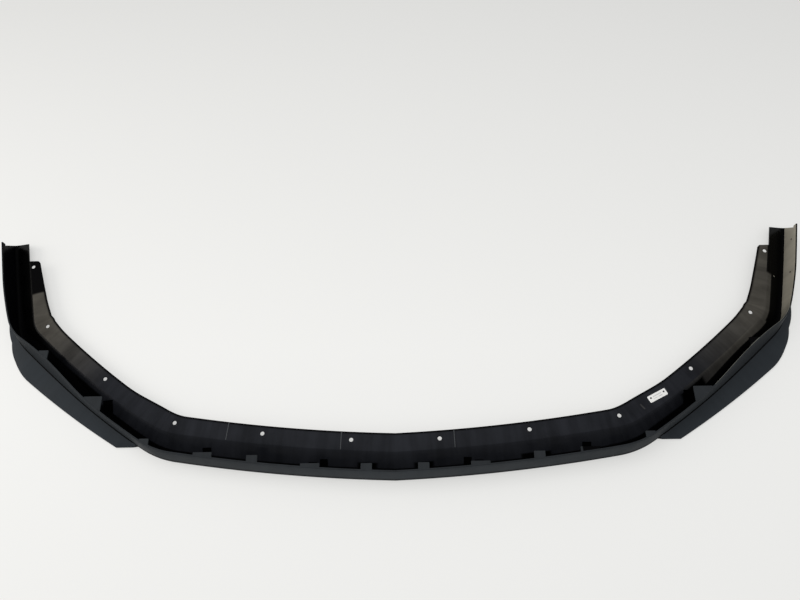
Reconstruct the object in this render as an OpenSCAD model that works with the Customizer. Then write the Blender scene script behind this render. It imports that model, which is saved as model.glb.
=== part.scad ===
// Front splitter lip: one moulded strip that wraps a car's front bumper from wheel arch to wheel arch.
// X runs across the car, Y from the nose to the rear, Z up. The strip rests on its flat keel at Z = 0.
// The plan of the strip is its foot line, a chain of arcs on each side of the centre point. Every
// section stands square to that line: a screw flange at the rear, a ramp down to the keel, and a
// wall that leans in at the front and out at the sides. Two blades stand out of its foot at the corners.

/* [Foot line in plan] */
// Heading of the foot line beside the centre point, in degrees
nose_heading = 2; // [1:0.5:5]
// Length of the front run, from the centre to the first bend
front_run = 425; // [380:5:460]
// Turn along the front run, in degrees
front_turn = 7; // [4:0.5:9]
// Length of the bend into the corner run
bend_run = 75; // [60:5:110]
// Turn of the bend, in degrees
bend_turn = 23.5; // [18:0.5:28]
// Length of the corner run
corner_run = 345; // [320:5:370]
// Turn along the corner run, in degrees
corner_turn = 10; // [6:0.5:13]
// Length of the bend into the side
arch_bend_run = 60; // [56:2:90]
// Turn of the bend into the side, in degrees
arch_bend_turn = 31.5; // [24:0.5:33]
// Length of the side run, up to the wheel arch
side_run = 211; // [205:1:240]
// Turn along the side run, in degrees
side_turn = 2; // [1:0.5:4]

/* [Section] */
// Thickness of the moulding
wall = 3; // [2.4:0.1:3.6]
// Height of the front wall
wall_h = 48; // [40:1:60]
// Height of the top of the screw flange
flange_z = 22; // [18:1:28]
// Foot line to the rear edge, along the front
width_front = 87; // [84:1:96]
// Foot line to the rear edge, along the corner
width_corner = 79; // [76:1:86]
// Foot line to the rear edge, at the end of the side
width_end = 61; // [60:1:68]
// Extra width that rounds the rear edge inside the bend into the side
bend_fill = 4.5; // [0:0.5:6]
// Foot line to the front edge of the flange, along the front
ramp_front = 51; // [46:1:54]
// Foot line to the front edge of the flange, along the corner and the side
ramp_side = 44; // [40:1:45]
// Outer radius at the foot of the wall
foot_r = 7; // [5.5:0.5:9]
// Lean of the wall at the front, foot to top
lean_front = 8.5; // [5:0.5:11]
// Lean of the wall at the side; a negative lean is outwards
lean_side = -4; // [-7:0.5:3]
// More lean in the middle of the corner run
lean_corner = 9; // [4:0.5:10]

/* [Corner blades] */
// Distance of the blades' front edge behind the centre point
blade_front = 71.7; // [68:0.5:80]
// Reach of a blade beyond the foot line where it begins
blade_start = 24; // [18:1:30]
// Reach of a blade where it is widest
blade_reach = 39; // [32:1:44]
// Reach of a blade where it runs into the side
blade_tail = 17; // [10:1:20]
// Thickness of a blade at its edge
blade_edge = 4; // [3:0.5:6]
// Height of the groove between a blade and the wall, above the foot's round
groove_rise = 5; // [4:0.5:8]
// Depth of that groove
groove_depth = 1; // [0.5:0.1:1.4]

/* [Screw holes] */
// Diameter of the screw holes
hole_d = 8; // [5:0.5:9]
// Centre of a screw hole to the rear edge
hole_inset = 15.5; // [11:0.5:16.5]
// Diameter of the small holes in the side walls
side_hole_d = 4; // [3:0.5:6]
// Height of the small holes in the side walls
side_hole_z = 30; // [24:1:34]
// Diameter of the drain hole
drain_d = 4.5; // [3:0.5:6]

/* [Lugs] */
// Thickness of the lugs
lug_t = 2.6; // [2:0.1:3.4]
// Step from the top of the wall down to the lugs
lug_step = 0.4; // [0.2:0.1:1]
// Width of a hooked lug
lug_w = 21; // [14:1:26]
// Reach of a hooked lug behind the wall
lug_reach = 11; // [6:1:16]
// Width of a seating lug
seat_w = 36; // [24:1:44]
// Reach of a seating lug behind the wall
seat_reach = 4.5; // [3:0.5:8]

/* [Ends] */
// How far the top of each end lies forward of its foot
end_rake = 26; // [14:1:30]
// Turn of the end cut in plan, which brings the inner side forward, in degrees
end_yaw = 10; // [0:1:12]
// Distance of the flange's end before the end of the side
tab_setback = 52; // [46:1:58]
// Corner radius at the flange's end
tab_r = 6; // [3:0.5:9]
// Foot line to the free edge beside the flange's end
free_edge = 40.5; // [34:0.5:41]
// Length of the ear at the top of each end
ear_l = 9; // [6:1:14]
// Height of the ear
ear_h = 10; // [6:1:14]

/* [Small features] */
// Width of the raised ribs across the flange
rib_w = 1.8; // [1.2:0.2:3]
// Height of those ribs above the flange
rib_h = 0.8; // [0.4:0.1:1.5]
// Depth of the pockets in the ramp
pocket_depth = 1.4; // [0.8:0.1:1.6]
// Diameter of the nibs on the wall
nib_d = 2; // [1.5:0.1:2.4]
// Height of those nibs
nib_h = 1; // [0.5:0.1:1.5]

/* [Paper label] */
// Length of the label
label_l = 40; // [30:1:50]
// Width of the label
label_w = 13.5; // [10:0.5:16]
// Thickness of the label
label_t = 0.3; // [0.2:0.05:0.6]

/* [Hidden] */

$fn = 40;

// Stations are lengths along the foot line from the centre point; a negative one is on the left.
runs = [
    [front_run, front_turn],
    [bend_run, bend_turn],
    [corner_run, corner_turn],
    [arch_bend_run, arch_bend_turn],
    [side_run, side_turn]
];
last_run = len(runs) - 1;
bend_at = front_run;
corner_at = bend_at + bend_run;
arch_at = corner_at + corner_run;
side_at = arch_at + arch_bend_run;
end_at = side_at + side_run;

hole_stations = [89, 265, 455, 656, 847, 1035];
hooked_stations = [53.5, 269];
seating_stations = [159, 364];
// Each corner lug spans the wall between two stations
corner_lugs = [[475, 497], [600, 646], [768, 794]];
corner_lug_reach = 2;
rib_stations = [-334, -108, 117];
nib_stations = [-297, 0, 297];
side_hole_stations = [990, 1070];
drain_station = 984;
drain_inset = 24;
// Each pocket: station, width along the ramp, distances of its two ends from the foot line
pockets = [[136, 13, 20, 33], [158, 15, 20, 29], [364, 14, 19, 37], [586, 15, 17, 36]];
label_station = 561;
label_inset = 62.5;
label_turn = -8;

// Where the blades fade into the side, how far the flange's taper runs, where the wall turns from
// its lean at the front to its lean at the side, and the middle of the greater lean in between
blade_widest_at = arch_at - 55;
blade_narrow_at = side_at + 40;
blade_end_at = side_at + 110;
bend_fill_half = 75;
taper_from = front_run - 25;
taper_to = corner_at + 100;
side_lean_from = arch_at - 45;
side_lean_to = side_at + 105;
lean_bump_at = arch_at - 75;
lean_bump_half = 160;

groove_z = foot_r + groove_rise;
keel = 20;
keel_inner = 13;
ramp_round = 4.5;
ramp_dip = 1.5;
blade_edge_r = 2;
over = 1;
far = 200;

function sq(v) = v * v;
function smooth(v) = let (u = min(1, max(0, v))) u * u * (3 - 2 * u);
function blend(a, b, from, to, s) = a + (b - a) * smooth((s - from) / (to - from));

// Position and heading on the foot line at station s, walked arc by arc
function walk(s, i, x, y, a) =
    let (run = runs[i],
         part = i == last_run ? s : min(s, run[0]),
         b = a + run[1] * part / run[0],
         r = run[0] / (run[1] * PI / 180),
         x2 = x + r * (sin(b) - sin(a)),
         y2 = y - r * (cos(b) - cos(a)))
    s <= run[0] || i == last_run ? [x2, y2, b] : walk(s - run[0], i + 1, x2, y2, b);

function foot_at(s) = walk(s, 0, 0, 0, nose_heading);
function heading(s) = s == 0 ? 0 : sign(s) * foot_at(abs(s))[2];

// The box around the strip is centred on the Z axis
end_heading = foot_at(end_at)[2];
depth = foot_at(end_at)[1] + keel * (cos(end_heading) - tan(end_yaw) * sin(end_heading));
y_shift = -depth / 2;

// Point at station s, d outside the foot line (negative is inside), at height z
function at(s, d, z) =
    let (p = foot_at(abs(s)), a = s == 0 ? 0 : p[2], side = s < 0 ? -1 : 1)
    [side * (p[0] + d * sin(a)), p[1] - d * cos(a) + y_shift, z];

// A rise from 0 to 1 and back again, as far as half on each side of a station
function hump(s, middle, half) = abs(s - middle) < half ? sq(cos(90 * (s - middle) / half)) : 0;

function plain_width(s) = blend(width_front, width_corner, taper_from, taper_to, s)
    + blend(0, width_end - width_corner, arch_at, end_at, s);
function width(s) = plain_width(s) + bend_fill * hump(s, (arch_at + side_at) / 2, bend_fill_half);
function ramp(s) = blend(ramp_front, ramp_side, taper_from, taper_to, s);
function lean(s) = blend(lean_front, lean_side, side_lean_from, side_lean_to, s)
    + lean_corner * hump(s, lean_bump_at, lean_bump_half);

// Reach of the blade, before and after its front edge and its fade are taken into account
function blade_full(s) = blade_start
    + (blade_reach - blade_start) * (s - corner_at - 30) / (blade_widest_at - corner_at - 30);
function blade(s) =
    let (p = foot_at(s), front = (p[1] - blade_front) / cos(p[2]),
         wide = blade_full(s) * blend(1, 0, blade_widest_at, blade_narrow_at, s),
         tail = blade_tail * blend(1, 0, side_at, blade_end_at, s))
    max(0, min(front, max(wide, tail)));

// Outside of the wall at height z
function wall_at(s, z) = -lean(s) * max(0, z - foot_r) / (wall_h - foot_r);
function mix(a, b, t) = a + (b - a) * t;

// Lower and outer side of the section at station s, from the rear edge to the top of the wall
function lower(s) =
    let (w = width(s), b = ramp(s), reach = blade(s), k = smooth(reach / foot_r),
         r = mix(foot_r, blade_edge_r, k), c = cos(45),
         below = foot_r + 0.48 * groove_rise, brink = foot_r + 0.72 * groove_rise)
    [
        [-w, flange_z - wall],
        [-b - 1, flange_z - wall],
        [-b + ramp_round - 1, flange_z - wall - ramp_dip],
        [-keel, 0],
        [-foot_r - 4, 0],
        [reach - r, 0],
        [reach - r + r * c, r - r * c],
        [reach, r],
        [reach, mix(foot_r + 0.24 * groove_rise, blade_edge, k)],
        [mix(wall_at(s, below), reach * 0.5, k), mix(below, mix(blade_edge, groove_z, 0.42), k)],
        [mix(wall_at(s, brink), wall_at(s, groove_z) + groove_depth, k), brink],
        [wall_at(s, groove_z) - groove_depth * k, groove_z - 0.2],
        [wall_at(s, groove_z + 1.5), groove_z + 1.5],
        [wall_at(s, (groove_z + wall_h) / 2) + 0.6, (groove_z + wall_h) / 2],
        [-lean(s), wall_h]
    ];

// Upper and inner side of the section, point for point beside the lower side
function upper(s) =
    let (b = ramp(s), r = foot_r - wall, c = cos(45), step = (groove_z + 1.5 - foot_r) / 6)
    [
        [-width(s), flange_z],
        [-b, flange_z],
        [-b + ramp_round, flange_z - ramp_dip],
        [-keel_inner, wall + 0.4],
        [-foot_r, wall],
        [-foot_r + r * c, foot_r - r * c],
        [-wall, foot_r],
        for (i = [1:6]) [wall_at(s, foot_r + i * step) - wall, foot_r + i * step],
        [wall_at(s, (groove_z + wall_h) / 2) + 0.6 - wall, (groove_z + wall_h) / 2],
        [-lean(s) - wall, wall_h]
    ];

// Stations of one half, closer together where the foot line bends. The last one lies a little
// past the end of the side, where the slanted cut ends the strip.
function spread(from, to, n) = [for (i = [0:n - 1]) from + (to - from) * i / n];
half_stations = concat(
    spread(0, bend_at, 13),
    spread(bend_at, corner_at, 6),
    spread(corner_at, corner_at + 45, 5),
    spread(corner_at + 45, arch_at, 10),
    spread(arch_at, side_at, 8),
    spread(side_at, blade_end_at, 8),
    spread(blade_end_at, end_at + over, 4),
    [end_at + over]
);
n_half = len(half_stations);
stations = [
    for (i = [n_half - 1:-1:1]) -half_stations[i],
    for (i = [0:n_half - 1]) half_stations[i]
];

// Ring of points of the section at station s: the lower side, then the upper side backwards
function ring(s) =
    let (lo = lower(abs(s)), up = upper(abs(s)), n = len(lo))
    [
        for (p = lo) at(s, p[0], p[1]),
        for (i = [n - 1:-1:0]) at(s, up[i][0], up[i][1])
    ];

// Skin of the rings, with both ends closed by strips between the lower and the upper side
module strip() {
    rings = [for (s = stations) ring(s)];
    n = len(rings[0]);
    m = n / 2;
    last = (len(rings) - 1) * n;
    sides = [
        for (i = [0:len(rings) - 2], j = [0:n - 1])
            let (a = i * n + j, b = i * n + (j + 1) % n, c = b + n, d = a + n)
            each [[a, c, d], [a, b, c]]
    ];
    start = [
        for (j = [0:m - 2])
            let (a = j, b = j + 1, c = n - 2 - j, d = n - 1 - j)
            each [[a, c, b], [a, d, c]]
    ];
    finish = [for (f = start) [f[2] + last, f[1] + last, f[0] + last]];
    polyhedron([for (r = rings) each r], concat(sides, start, finish), convexity = 10);
}

// Stands the children at station s with X along the foot line and Y towards the inside
module stand(s, d = 0, z = 0) {
    translate(at(s, d, z)) rotate([0, 0, heading(s)]) children();
}

module both_sides() {
    children();
    mirror([1, 0, 0]) children();
}

// Cylinders through the flange
module screw_holes() {
    for (s = hole_stations)
        stand(s, hole_inset - plain_width(s), flange_z - wall - over)
            cylinder(h = wall + 2 * over, d = hole_d);
}

// Small holes through the side wall, square to it
module side_holes() {
    for (s = side_hole_stations)
        stand(s, 0, side_hole_z)
            rotate([-90, 0, 0]) translate([0, 0, -2 * wall]) cylinder(h = 6 * wall, d = side_hole_d);
}

// Shallow pockets in the top of the ramp, tilted with it
module ramp_pockets() {
    for (p = pockets)
        let (s = p[0],
             run = ramp(s) - ramp_round - keel_inner,
             rise = flange_z - ramp_dip - wall - 0.4,
             middle = (p[2] + p[3]) / 2,
             z = wall + 0.4 + rise * (middle - keel_inner) / run)
        stand(s, -middle, z) rotate([atan(rise / run), 0, 0])
            translate([0, 0, wall / 2])
            cube([p[1], p[3] - p[2], wall + 2 * pocket_depth], center = true);
}

// Everything behind the slanted plane that ends the side, but for an ear at the top of the wall
module end_cut() {
    stand(end_at) difference() {
        rotate([0, 0, end_yaw]) rotate([0, -atan(end_rake / wall_h), 0])
            translate([0, -far / 2, -far / 4]) cube([far / 4, 1.5 * far, far]);
        translate([-2 * end_rake, -abs(lean_side) - 2 * wall, wall_h - ear_h])
            cube([end_rake + ear_l, 2 * abs(lean_side) + 4 * wall, 2 * ear_h]);
    }
}

// The room beside the free edge, up to the rounded end of the flange
module flange_end_cut() {
    y_end = at(end_at, 0, 0)[1];
    y_tab = y_end - tab_setback;
    s_tab = end_at - tab_setback;
    rear = at(s_tab, -width(s_tab), 0);
    rear_heading = atan2(at(end_at, -width(end_at), 0)[1] - rear[1],
        at(end_at, -width(end_at), 0)[0] - rear[0]);
    rear_x = rear[0] + (y_tab - rear[1]) / tan(rear_heading);
    centre = [rear_x + tab_r * (1 - cos(rear_heading)) / sin(rear_heading) - 0.3, y_tab - tab_r];
    edge = [for (s = [s_tab - tab_setback, end_at + 20]) at(s, -free_edge, 0)];
    edge_x = edge[0][0] + (y_tab - edge[0][1]) * (edge[1][0] - edge[0][0]) / (edge[1][1] - edge[0][1]);
    translate([0, 0, -over]) linear_extrude(flange_z + 4 * over)
        polygon([
            [edge_x, y_tab],
            [edge[1][0], edge[1][1]],
            [edge[1][0], y_end + far],
            [rear_x - far / 4, y_end + far],
            [rear_x - far / 4, y_tab - tab_r],
            for (a = [90 + rear_heading:-rear_heading / 6:91]) centre + tab_r * [cos(a), sin(a)],
            [centre[0], y_tab]
        ]);
}

// Middle of the wall's thickness at the height of the lugs
function lug_root(s) = at(s, -lean(s) - wall * 0.5, 0);

// A lug between two stations, with its rear edge across the car, so that it slides in from behind
module lug(s1, s2, reach) {
    a = lug_root(s1);
    b = lug_root(s2);
    back = b[1] + wall / 2 + reach;
    translate([0, 0, wall_h - lug_step - lug_t]) linear_extrude(lug_t)
        polygon([[a[0], a[1]], [b[0], b[1]], [b[0], back], [a[0], back]]);
}

module lugs() {
    for (s = hooked_stations) lug(s - lug_w / 2, s + lug_w / 2, lug_reach);
    for (s = seating_stations) lug(s - seat_w / 2, s + seat_w / 2, seat_reach);
    for (pair = corner_lugs) lug(pair[0], pair[1], corner_lug_reach);
}

// Low ribs across the flange
module ribs() {
    for (s = rib_stations)
        let (from = ramp(abs(s)) + 1, to = width(abs(s)) - 1.5)
        stand(s, -from, flange_z - wall / 2)
            translate([-rib_w / 2, 0, 0]) cube([rib_w, to - from, wall / 2 + rib_h]);
}

// Nibs on the top of the wall
module nibs() {
    for (s = nib_stations)
        stand(s, -lean(abs(s)) - wall / 2, wall_h - 2 * over)
            cylinder(h = 2 * over + nib_h, d = nib_d);
}

module lip() {
    color("#26292c") difference() {
        union() {
            strip();
            both_sides() lugs();
            ribs();
            nibs();
        }
        both_sides() {
            end_cut();
            flange_end_cut();
            screw_holes();
            side_holes();
            ramp_pockets();
        }
        stand(drain_station, -drain_inset, -over) cylinder(h = flange_z, d = drain_d);
    }
}

// Blank sticker that lies on the flange
module paper_label() {
    color("#f1f1ee") stand(label_station, -label_inset, flange_z) rotate([0, 0, label_turn])
        translate([-label_l / 2, -label_w / 2, 0]) cube([label_l, label_w, label_t]);
}

lip();
paper_label();
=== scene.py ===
"""Front splitter lip of black moulded plastic, dressed for a studio picture.

Lengths inside the classes are millimetres, and a mesh is turned into metres when it is made. A
place on the moulding is written as (s, d, z): s is the length along the foot line from the centre
point, negative on the left, d the distance outside that line, and z the height.
"""

import logging
import math
from dataclasses import dataclass, field
from enum import Enum
from typing import Any, Callable, Iterable, Optional, Sequence, Union

import bpy
import numpy as np
from mathutils import Matrix


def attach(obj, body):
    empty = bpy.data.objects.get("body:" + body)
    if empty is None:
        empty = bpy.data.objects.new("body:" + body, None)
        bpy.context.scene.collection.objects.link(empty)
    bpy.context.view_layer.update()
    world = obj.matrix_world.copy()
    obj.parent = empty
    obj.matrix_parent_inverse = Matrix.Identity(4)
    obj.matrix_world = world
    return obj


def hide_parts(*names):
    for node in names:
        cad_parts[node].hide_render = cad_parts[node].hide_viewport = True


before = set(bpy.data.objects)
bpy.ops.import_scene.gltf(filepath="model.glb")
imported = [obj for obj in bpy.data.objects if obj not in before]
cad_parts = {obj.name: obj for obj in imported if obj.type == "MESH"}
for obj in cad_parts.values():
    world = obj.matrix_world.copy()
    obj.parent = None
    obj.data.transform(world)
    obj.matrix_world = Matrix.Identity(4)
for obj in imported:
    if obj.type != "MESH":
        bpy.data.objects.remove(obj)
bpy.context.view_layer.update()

LOG = logging.getLogger("splitter_lip")
MM = 0.001
DISPLAY_GAMMA = 2.2
LIGHT_ON_PART = 0.84
DARKEST = 0.0006
RUN_MARGIN = 10.0
UNLIT_BLACK = (0.0008, 0.0008, 0.001, 1.0)
LABEL_SIZE = (40.0, 13.5)


# Arithmetic on arrays


def smooth(v: np.ndarray) -> np.ndarray:
    """3u^2 - 2u^3 of v held between 0 and 1."""
    u = np.clip(v, 0.0, 1.0)
    return u * u * (3.0 - 2.0 * u)


def blend(a: float, b: float, start: float, end: float, s: np.ndarray) -> np.ndarray:
    """Value that goes smoothly from a at start to b at end."""
    return a + (b - a) * smooth((s - start) / (end - start))


def hump(s: np.ndarray, middle: float, half: float) -> np.ndarray:
    """A rise from 0 to 1 and back, as the square of a cosine, half on each side of the middle."""
    return np.cos(0.5 * math.pi * np.clip((s - middle) / half, -1.0, 1.0)) ** 2


def mix(a: Any, b: Any, t: Any) -> Any:
    """a at t = 0 and b at t = 1."""
    return a + (b - a) * t


def within(v: np.ndarray, low: float, high: float) -> np.ndarray:
    """Where v lies between low and high."""
    return (v > low) & (v < high)


def value_at(curve: Callable[[np.ndarray], np.ndarray], s: float) -> float:
    """A curve's value at one station."""
    return float(curve(np.array([float(s)]))[0])


def turned(angle: float) -> np.ndarray:
    """4 x 4 matrix of a turn about Z.

    Args:
        angle: in radians.

    Returns:
        The matrix.
    """
    out = np.eye(4)
    out[:2, :2] = [[math.cos(angle), -math.sin(angle)], [math.sin(angle), math.cos(angle)]]
    return out


def raised(outline: np.ndarray, z: Any) -> np.ndarray:
    """An outline in X and Y with heights: one for all its points, or one for each."""
    return np.column_stack([outline, np.broadcast_to(z, len(outline))])


# Shells


@dataclass
class Shell:
    """A closed skin of points and faces, in millimetres."""

    points: np.ndarray
    faces: list

    def moved(self, matrix: np.ndarray) -> "Shell":
        """The shell under a 4 x 4 matrix, with its faces still outwards after a mirror.

        Args:
            matrix: turn and shift, in millimetres.

        Returns:
            The moved shell.
        """
        made = Shell(self.points @ matrix[:3, :3].T + matrix[:3, 3], self.faces)
        return made.flipped() if np.linalg.det(matrix[:3, :3]) < 0 else made

    def flipped(self) -> "Shell":
        """The shell with its faces turned round."""
        return Shell(self.points, [f[::-1] for f in self.faces])

    def volume(self) -> float:
        """Sum of a . (b x c) / 6 over the fans of all faces.

        Returns:
            The volume, negative when the faces look inwards.
        """
        fans = [(f[0], f[k], f[k + 1]) for f in self.faces for k in range(1, len(f) - 1)]
        a, b, c = self.points[np.array(fans).T]
        return float(np.einsum("ij,ij->i", a, np.cross(b, c)).sum() / 6.0)

    def outward(self) -> "Shell":
        """The shell with its faces turned outwards."""
        return self.flipped() if self.volume() < 0 else self

    def mesh(self, name: str) -> bpy.types.Mesh:
        """A mesh of the shell in metres.

        Args:
            name: the mesh's name.

        Returns:
            The mesh.
        """
        made = bpy.data.meshes.new(name)
        made.from_pydata((self.points * MM).tolist(), [], [list(map(int, f)) for f in self.faces])
        made.update()
        return made


def joined(shells: Iterable[Shell]) -> Shell:
    """All the shells as one, with nothing merged.

    Args:
        shells: any number of shells.

    Returns:
        One shell.
    """
    points, faces, base = [], [], 0
    for shell in shells:
        points.append(shell.points)
        faces += [[i + base for i in f] for f in shell.faces]
        base += len(shell.points)
    return Shell(np.vstack(points), faces)


def tube(rings: Union[np.ndarray, Sequence[np.ndarray]]) -> Shell:
    """Closed skin over rings of points, shape (rings, points, 3).

    Face (i, j) joins points j and j + 1 of rings i and i + 1, and one flat face closes each end.

    Args:
        rings: the rings, in order.

    Returns:
        The closed shell, faces outwards.
    """
    rings = np.asarray(rings)
    n, m = rings.shape[:2]
    i, j = np.meshgrid(np.arange(n - 1), np.arange(m), indexing="ij")
    a, b = i * m + j, i * m + (j + 1) % m
    quads = np.stack([a, b, b + m, a + m], axis=-1).reshape(-1, 4)
    faces = quads.tolist() + [list(range(m))[::-1], list(range((n - 1) * m, n * m))]
    return Shell(rings.reshape(-1, 3), faces).outward()


def prism(outline: np.ndarray, levels: Sequence[tuple[float, float]]) -> Shell:
    """An outline in X and Y carried up in Z.

    Ring k is the outline moved towards its middle by the inset of level k, at the height of level k.

    Args:
        outline: points, shape (n, 2).
        levels: (inset, height) of each ring from the bottom up.

    Returns:
        The closed shell.
    """
    middle = outline.mean(axis=0)
    arm = outline - middle
    reach = np.linalg.norm(arm, axis=1, keepdims=True)
    return tube([raised(middle + arm * (1 - inset / reach), z) for inset, z in levels])


def lathe(profile: Sequence[tuple[float, float]], sides: int) -> Shell:
    """A profile of (radius, height) turned about Z: x = r cos t, y = r sin t.

    Args:
        profile: (radius, height) from the bottom up.
        sides: points round each ring.

    Returns:
        The closed shell.
    """
    t = np.linspace(0.0, 2.0 * math.pi, sides, endpoint=False)
    circle = np.column_stack([np.cos(t), np.sin(t)])
    return tube([raised(r * circle, z) for r, z in profile])


def rounded(corners: np.ndarray, radii: np.ndarray, steps: int) -> np.ndarray:
    """Closed outlines with each corner P turned into a short curve.

    The curve is (1-u)^2 A + 2u(1-u) P + u^2 B. A and B lie on the two edges at P, a radius away
    or 0.45 of the edge, whichever is less.

    Args:
        corners: shape (outlines, corners, 2).
        radii: one for each corner.
        steps: points of each curve.

    Returns:
        Points, shape (outlines, corners * steps, 2).
    """
    before = np.roll(corners, 1, axis=1) - corners
    after = np.roll(corners, -1, axis=1) - corners
    u = np.linspace(0.0, 1.0, steps)[:, None]
    r = radii[None, :, None]

    def towards(arm: np.ndarray) -> np.ndarray:
        """Point on an edge, the radius away from the corner."""
        length = np.linalg.norm(arm, axis=2, keepdims=True)
        return corners + arm * np.minimum(r / np.maximum(length, 1e-9), 0.45)

    a, b, p = (v[:, :, None, :] for v in (towards(before), towards(after), corners))
    curve = (1 - u) ** 2 * a + 2 * u * (1 - u) * p + u ** 2 * b
    return curve.reshape(len(corners), -1, 2)


# The moulding's plan and section


@dataclass(frozen=True)
class FootLine:
    """The moulding's line in plan: a chain of arcs on each side of the centre point."""

    nose_heading: float = 2.0
    runs: tuple = ((425.0, 7.0), (75.0, 23.5), (345.0, 10.0), (60.0, 31.5), (211.0, 2.0))
    keel: float = 20.0
    end_yaw: float = 10.0
    nose_blend: float = 32.7

    def marks(self) -> list[float]:
        """Stations at which the runs end."""
        return list(np.cumsum([length for length, _ in self.runs]))

    def walk(self, s: np.ndarray) -> tuple[np.ndarray, np.ndarray, np.ndarray]:
        """Place and heading at stations on the right.

        On an arc of radius r from heading a to b, x grows by r (sin b - sin a) and y by
        -r (cos b - cos a). The last arc runs on past its end. An array of whole numbers gives
        the right place, but its heading lacks the nose heading, which is rounded to 0 in it.

        Args:
            s: stations, none negative.

        Returns:
            x, y and heading in radians.
        """
        x, y = np.zeros_like(s), np.zeros_like(s)
        heading = np.full_like(s, math.radians(self.nose_heading))
        start = 0.0
        for length, turn in self.runs:
            limit = length if (length, turn) != self.runs[-1] else np.inf
            radius = length / math.radians(turn)
            after = heading + np.clip(s - start, 0.0, limit) / radius
            x = x + radius * (np.sin(after) - np.sin(heading))
            y = y - radius * (np.cos(after) - np.cos(heading))
            heading, start = after, start + length
        return x, y, heading

    def shift(self) -> float:
        """What centres the box of the strip on the Z axis.

        Returns:
            What is added to Y.
        """
        _, y, heading = self.walk(np.array([self.marks()[-1]]))
        slant = math.tan(math.radians(self.end_yaw))
        reach = np.cos(heading[0]) - slant * np.sin(heading[0])
        return float(-(y[0] + self.keel * reach) / 2.0)

    def place(self, s: np.ndarray, d: np.ndarray, z: np.ndarray) -> np.ndarray:
        """Points at (s, d, z). The direction of d turns to 0 within nose_blend of the centre.

        Args:
            s: stations, negative on the left.
            d: distances outside the line.
            z: heights.

        Returns:
            Points, with X, Y and Z on the last axis.
        """
        x, y, heading = self.walk(np.abs(s))
        heading = heading * np.clip(np.abs(s) / self.nose_blend, 0.0, 1.0)
        side = np.where(s < 0, -1.0, 1.0)
        px = side * (x + d * np.sin(heading))
        return np.stack([px, y - d * np.cos(heading) + self.shift(), z + 0.0 * px], axis=-1)

    def point(self, s: float, d: float = 0.0, z: float = 0.0) -> np.ndarray:
        """One point at (s, d, z)."""
        return self.place(*(np.array(float(v)) for v in (s, d, z)))

    def stand(self, s: float, d: float = 0.0, z: float = 0.0) -> np.ndarray:
        """Matrix of a frame at (s, d, z) with X along the foot line and Y to the inside.

        With s a whole number it is turned too little, by the nose heading (see walk).

        Args:
            s: station, negative on the left.
            d: distance outside the line.
            z: height.

        Returns:
            The 4 x 4 matrix.
        """
        _, _, heading = self.walk(np.array([abs(s)]))
        out = turned(0.0 if s == 0 else math.copysign(float(heading[0]), s))
        out[:3, 3] = self.point(s, d, z)
        return out

    def locate(self, points: np.ndarray) -> tuple[np.ndarray, np.ndarray, np.ndarray]:
        """Stations and distances of points, from the nearest of the line's samples.

        With the sample F and its unit tangent t and outward normal n, s is the sample's station
        plus (P - F) . t, and d is (P - F) . n.

        Args:
            points: shape (n, 3), in millimetres.

        Returns:
            s with its sign, d, and the outward normals, shape (n, 2).
        """
        samples = np.arange(0.0, self.marks()[-1] + 40.0, 1.5)
        x, y, heading = self.walk(samples)
        y = y + self.shift()
        found_s, found_d = np.zeros(len(points)), np.zeros(len(points))
        normals = np.zeros((len(points), 2))
        side = np.where(points[:, 0] < 0, -1.0, 1.0)
        for part in np.array_split(np.arange(len(points)), max(1, len(points) // 4000)):
            px, py = np.abs(points[part, 0]), points[part, 1]
            near = np.argmin((px[:, None] - x) ** 2 + (py[:, None] - y) ** 2, axis=1)
            dx, dy, a = px - x[near], py - y[near], heading[near]
            found_s[part] = samples[near] + dx * np.cos(a) + dy * np.sin(a)
            found_d[part] = dx * np.sin(a) - dy * np.cos(a)
            normals[part] = np.column_stack([side[part] * np.sin(a), -np.cos(a)])
        return side * found_s, found_d, normals


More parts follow.
